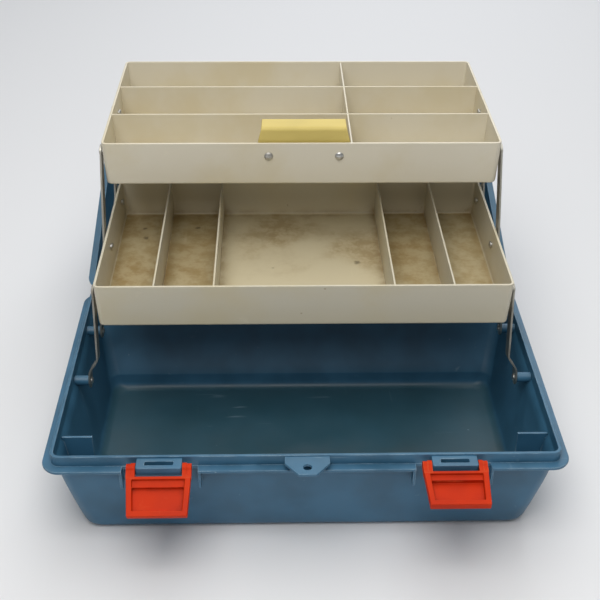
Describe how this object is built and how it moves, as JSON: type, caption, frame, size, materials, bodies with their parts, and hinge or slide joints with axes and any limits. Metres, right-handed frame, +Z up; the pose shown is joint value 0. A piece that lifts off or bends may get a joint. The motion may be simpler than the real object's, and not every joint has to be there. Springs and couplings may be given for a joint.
{
  "type": "cantilever sewing box",
  "caption": "Open rectangular plastic workbox with a hinged lid, cantilever trays on riveted links, flip latches, a padlock tab and a folding carry handle.",
  "frame": {"origin": "on the flat underside of the base, below the middle of its rim", "axes": "+X to the right seen from the latches, +Y from the latches to the hinge, +Z up"},
  "size_m": [0.4, 0.5374, 0.2585],
  "materials": {
    "blue_shell": "satin moulded plastic, scuffed",
    "blue_handle": "satin moulded plastic",
    "cream_tray": "satin moulded plastic, stained floors",
    "yellow_pull": "satin moulded plastic",
    "orange_latch": "semi-gloss moulded plastic",
    "plated_steel": "dull zinc plate",
    "rivet_metal": "bright, slightly tarnished"
  },
  "bodies": {
    "base": {"base_shell": "blue_shell", "front_foot_rivet_left": "rivet_metal", "long_foot_rivet_left": "rivet_metal", "hinge_pin_left": "plated_steel", "front_foot_rivet_right": "rivet_metal", "long_foot_rivet_right": "rivet_metal", "hinge_pin_right": "plated_steel"},
    "lid": {"lid_shell": "blue_shell", "handle_pin_left": "plated_steel", "handle_pin_right": "plated_steel"},
    "carry_handle": {"carry_handle": "blue_handle"},
    "front_links": {"front_link_left": "plated_steel", "front_link_right": "plated_steel"},
    "long_links": {"long_link_left": "plated_steel", "long_link_right": "plated_steel"},
    "rear_links": {"rear_link_left": "plated_steel", "rear_link_right": "plated_steel"},
    "middle_tray": {"middle_tray": "cream_tray", "middle_front_rivet_left": "rivet_metal", "middle_centre_rivet_left": "rivet_metal", "middle_rear_rivet_left": "rivet_metal", "middle_front_rivet_right": "rivet_metal", "middle_centre_rivet_right": "rivet_metal", "middle_rear_rivet_right": "rivet_metal"},
    "top_tray": {"top_tray": "cream_tray", "top_divider_long": "cream_tray", "top_divider_1_left": "cream_tray", "top_divider_1_right": "cream_tray", "top_divider_2_left": "cream_tray", "top_divider_2_right": "cream_tray", "tray_pull": "yellow_pull", "top_front_rivet_left": "rivet_metal", "top_rear_rivet_left": "rivet_metal", "pull_rivet_left": "rivet_metal", "top_front_rivet_right": "rivet_metal", "top_rear_rivet_right": "rivet_metal", "pull_rivet_right": "rivet_metal"},
    "latch_left": {"latch_lever_left": "orange_latch"},
    "latch_right": {"latch_lever_right": "orange_latch"}
  },
  "joints": [
    {"name": "lid_hinge", "type": "hinge", "parent": "base", "child": "lid", "pos_m": [0, 0.12525, 0.08], "axis": [1, 0, 0], "range_deg": [0, 161.8]},
    {"name": "long_link_pivot", "type": "hinge", "parent": "base", "child": "long_links", "pos_m": [0, 0.06302, 0.0787], "axis": [1, 0, 0], "range_deg": [0, 83.6]},
    {"name": "front_link_pivot", "type": "hinge", "parent": "base", "child": "front_links", "pos_m": [0, -0.00818, 0.0787], "axis": [1, 0, 0], "range_deg": [0, 83.6]},
    {"name": "middle_tray_pivot", "type": "hinge", "parent": "long_links", "child": "middle_tray", "pos_m": [0, 0.08077, 0.15527], "axis": [1, 0, 0], "range_deg": [-83.6, 0]},
    {"name": "top_tray_pivot", "type": "hinge", "parent": "long_links", "child": "top_tray", "pos_m": [0, 0.11195, 0.23046], "axis": [1, 0, 0], "range_deg": [-83.6, 0]},
    {"name": "rear_link_pivot", "type": "hinge", "parent": "middle_tray", "child": "rear_links", "pos_m": [0, 0.16077, 0.15527], "axis": [1, 0, 0], "range_deg": [0, 83.6]},
    {"name": "left_latch_pivot", "type": "hinge", "parent": "base", "child": "latch_left", "pos_m": [-0.1105, -0.12105, 0.0832], "axis": [-1, 0, 0], "range_deg": [-50, 120]},
    {"name": "right_latch_pivot", "type": "hinge", "parent": "base", "child": "latch_right", "pos_m": [0.1105, -0.12105, 0.0832], "axis": [-1, 0, 0], "range_deg": [-70, 100]},
    {"name": "carry_handle_pivot", "type": "hinge", "parent": "lid", "child": "carry_handle", "pos_m": [0, 0.27677, 0.02097], "axis": [-1, 0, 0], "range_deg": [0, 90]}
  ],
  "couplings": [
    {"joint": "long_link_pivot", "follows": "lid_hinge", "ratio": 0.51607},
    {"joint": "front_link_pivot", "follows": "lid_hinge", "ratio": 0.51607},
    {"joint": "middle_tray_pivot", "follows": "lid_hinge", "ratio": -0.51607},
    {"joint": "top_tray_pivot", "follows": "lid_hinge", "ratio": -0.51607},
    {"joint": "rear_link_pivot", "follows": "lid_hinge", "ratio": 0.51607}
  ]
}
